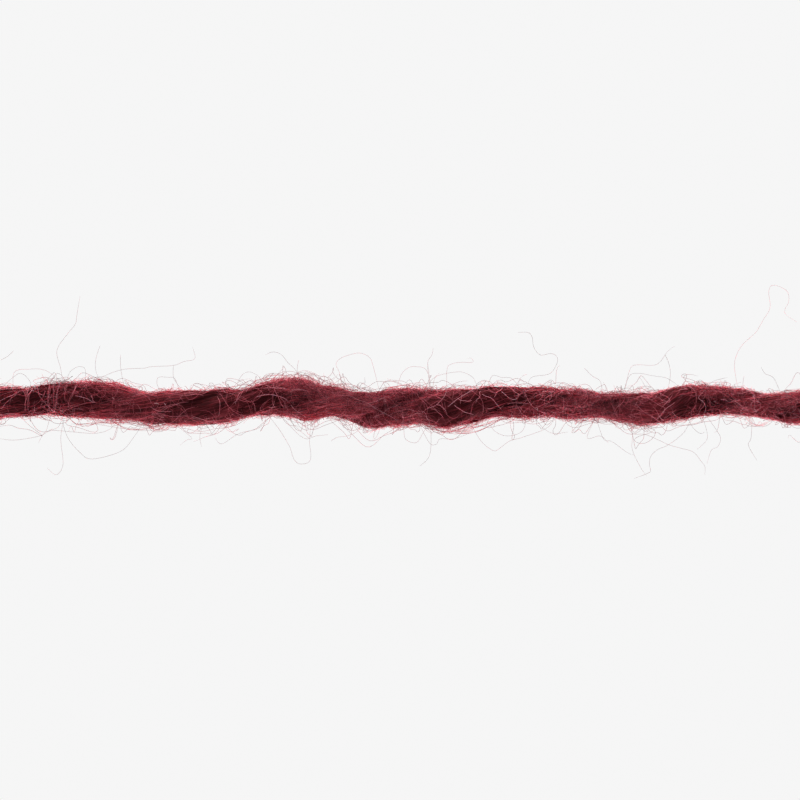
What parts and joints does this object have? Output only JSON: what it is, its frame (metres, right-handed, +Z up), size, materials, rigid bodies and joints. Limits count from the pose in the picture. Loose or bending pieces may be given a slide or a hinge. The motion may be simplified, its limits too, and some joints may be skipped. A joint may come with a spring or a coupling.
{
  "type": "knitting yarn",
  "caption": "Straight cut length of soft plied wool knitting yarn with an uneven left-hand twist and a hairy surface, lying on a table.",
  "frame": {"origin": "middle of the cut length and of its width, on the surface that it lies on", "axes": "+X along the yarn, +Z up from the surface, +Y to the left of +X"},
  "size_m": [0.08, 0.0038, 0.0035],
  "materials": {
    "wool": "matte"
  },
  "bodies": {
    "root": {"yarn_strand": "wool"}
  },
  "joints": []
}
